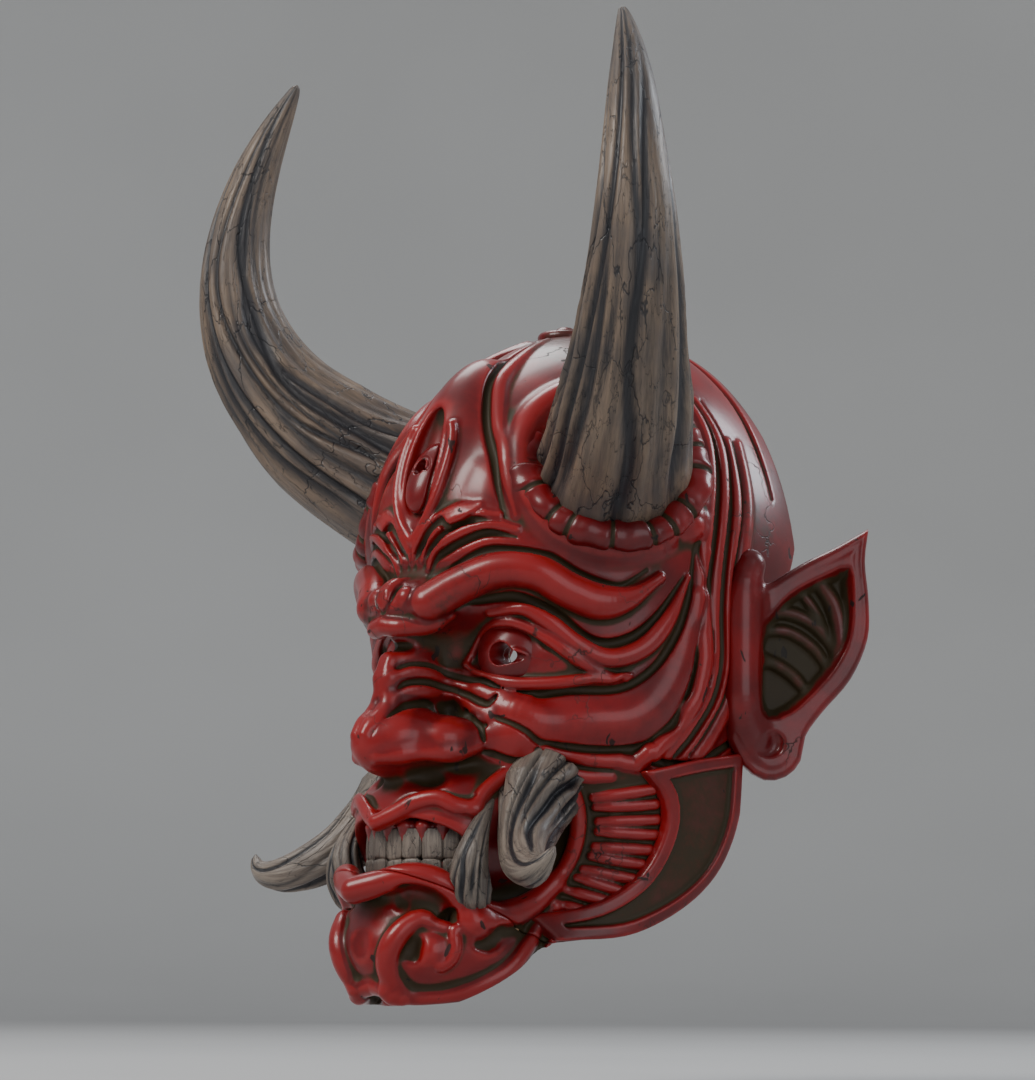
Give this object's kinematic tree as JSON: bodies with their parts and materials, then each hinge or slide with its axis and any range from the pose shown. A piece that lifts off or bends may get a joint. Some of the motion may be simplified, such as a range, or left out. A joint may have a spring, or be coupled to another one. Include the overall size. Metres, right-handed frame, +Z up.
{
  "type": "noh mask",
  "caption": "Carved and lacquered horned demon mask, hollow for wearing, with fitted horns, ears, tusks, inside pads, a wall hanger and swinging strap rings.",
  "frame": {"origin": "centre of the wall nail's hole, in the hanger bracket inside the crown", "axes": "+Z up along the face, -Y the way the face looks, +X the mask's own left side"},
  "size_m": [0.2756, 0.1847, 0.3982],
  "materials": {
    "red_lacquer": "deep red lacquer over carved wood, glossy, with dark olive patina rubbed into the recesses",
    "horn": "carved and stained horn, satin, with blue-black grain grooves",
    "tooth_bone": "carved and stained tusk and tooth, satin",
    "gum_lacquer": "dark red gloss lacquer",
    "pad_leather": "soft dark brown leather, matt",
    "dowel_wood": "bare hardwood",
    "blackened_brass": "aged brass",
    "fixing_steel": "zinc-plated steel, dulled"
  },
  "bodies": {
    "mask": {"cheek_pad_left": "pad_leather", "cheek_pad_right": "pad_leather", "chin_dowels": "dowel_wood", "chin_piece": "red_lacquer", "crown_boss": "red_lacquer", "curled_tusk_left": "tooth_bone", "curled_tusk_right": "tooth_bone", "ear_left": "red_lacquer", "ear_right": "red_lacquer", "ear_screws": "fixing_steel", "eye_left": "red_lacquer", "eye_right": "red_lacquer", "face_shell": "red_lacquer", "forehead_pad": "pad_leather", "hanger_bracket": "blackened_brass", "hanger_screws": "fixing_steel", "horn_collar_left": "red_lacquer", "horn_collar_right": "red_lacquer", "horn_left": "horn", "horn_nuts": "fixing_steel", "horn_right": "horn", "horn_studs": "fixing_steel", "horn_washers": "fixing_steel", "jaw_plate_left": "red_lacquer", "jaw_plate_pins": "fixing_steel", "jaw_plate_right": "red_lacquer", "lower_gum": "gum_lacquer", "lower_teeth": "tooth_bone", "lower_tusk_left": "tooth_bone", "lower_tusk_right": "tooth_bone", "strap_clip_left": "blackened_brass", "strap_clip_right": "blackened_brass", "strap_clip_screws": "fixing_steel", "third_eye": "red_lacquer", "upper_gum": "gum_lacquer", "upper_teeth": "tooth_bone"},
    "strap_ring_left": {"strap_ring_left": "blackened_brass"},
    "strap_ring_right": {"strap_ring_right": "blackened_brass"}
  },
  "joints": [
    {"name": "strap_ring_left_swing", "type": "hinge", "parent": "mask", "child": "strap_ring_left", "pos_m": [0.0715, -0.004, -0.116], "axis": [0, 1, 0], "range_deg": [0, 140]},
    {"name": "strap_ring_right_swing", "type": "hinge", "parent": "mask", "child": "strap_ring_right", "pos_m": [-0.0715, -0.004, -0.116], "axis": [0, -1, 0], "range_deg": [0, 140]}
  ]
}
